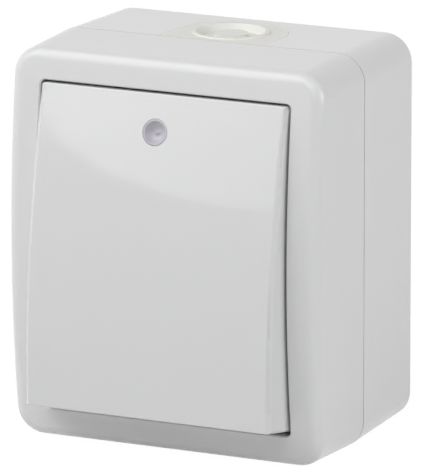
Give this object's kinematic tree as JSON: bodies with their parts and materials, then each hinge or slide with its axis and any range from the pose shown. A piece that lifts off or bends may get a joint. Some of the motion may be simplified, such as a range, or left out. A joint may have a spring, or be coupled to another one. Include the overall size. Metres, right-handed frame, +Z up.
{
  "type": "outdoor weatherproof switch",
  "caption": "Surface-mounted weatherproof rocker switch with an arched frame, one large key with a round indicator lens, and a stepped cable entry on top.",
  "frame": {"origin": "centre of the back face, in the plane of the wall", "axes": "+Z up, -Y out of the wall towards the user, +X to the right of someone facing the switch"},
  "size_m": [0.065, 0.0499, 0.0762],
  "materials": {
    "housing": "smooth light grey-white moulded plastic",
    "key": "smooth light grey-white moulded plastic",
    "entry_seal": "soft off-white elastomer",
    "lens": "clear moulded lens, slightly violet grey",
    "seal_rubber": "matt black rubber",
    "zinc_steel": "zinc plated steel",
    "insulation": "dark grey moulded insulation",
    "inner_white": "natural white moulded plastic",
    "brass": "stamped brass",
    "silver": "silver contact metal",
    "spring_steel": "drawn spring wire",
    "lamp_glass": "clear lamp body, pale orange",
    "ceramic": "beige coated ceramic",
    "tinned_copper": "tinned copper wire"
  },
  "bodies": {
    "housing": {"back_box": "housing", "front_cover": "housing", "cover_gasket": "seal_rubber", "cable_grommet": "entry_seal", "cover_screws": "zinc_steel", "screw_seals": "seal_rubber", "mechanism_cover": "inner_white", "mechanism_gasket": "seal_rubber", "mechanism_base": "insulation", "mechanism_rivets": "zinc_steel", "mechanism_screws": "zinc_steel", "line_clamp": "brass", "load_clamp": "brass", "terminal_screws": "zinc_steel", "common_terminal": "brass", "load_terminal": "brass", "fixed_contact": "silver", "indicator_lamp": "lamp_glass", "lamp_holder": "inner_white", "lamp_resistor": "ceramic", "lamp_leads": "tinned_copper"},
    "rocker": {"rocker_key": "key", "indicator_lens": "lens", "cradle": "inner_white"},
    "plunger_body": {"plunger": "inner_white", "plunger_spring": "spring_steel"},
    "lever": {"contact_lever": "brass", "moving_contact": "silver"}
  },
  "joints": [
    {"name": "rocker_pivot", "type": "hinge", "parent": "housing", "child": "rocker", "pos_m": [0, -0.0377, 0], "axis": [1, 0, 0], "range_deg": [0, 14.4]},
    {"name": "contact_lever_pivot", "type": "hinge", "parent": "housing", "child": "lever", "pos_m": [0, -0.0134, 0], "axis": [1, 0, 0], "range_deg": [-14, 0]},
    {"name": "plunger_slide", "type": "slide", "parent": "rocker", "child": "plunger_body", "axis": [0, -0.9921, 0.1253], "range_m": [0, 0.0012], "stiffness_N_per_m": 100, "deforming": ["plunger_spring"]}
  ],
  "couplings": [
    {"joint": "contact_lever_pivot", "follows": "rocker_pivot", "ratio": -0.97222}
  ]
}
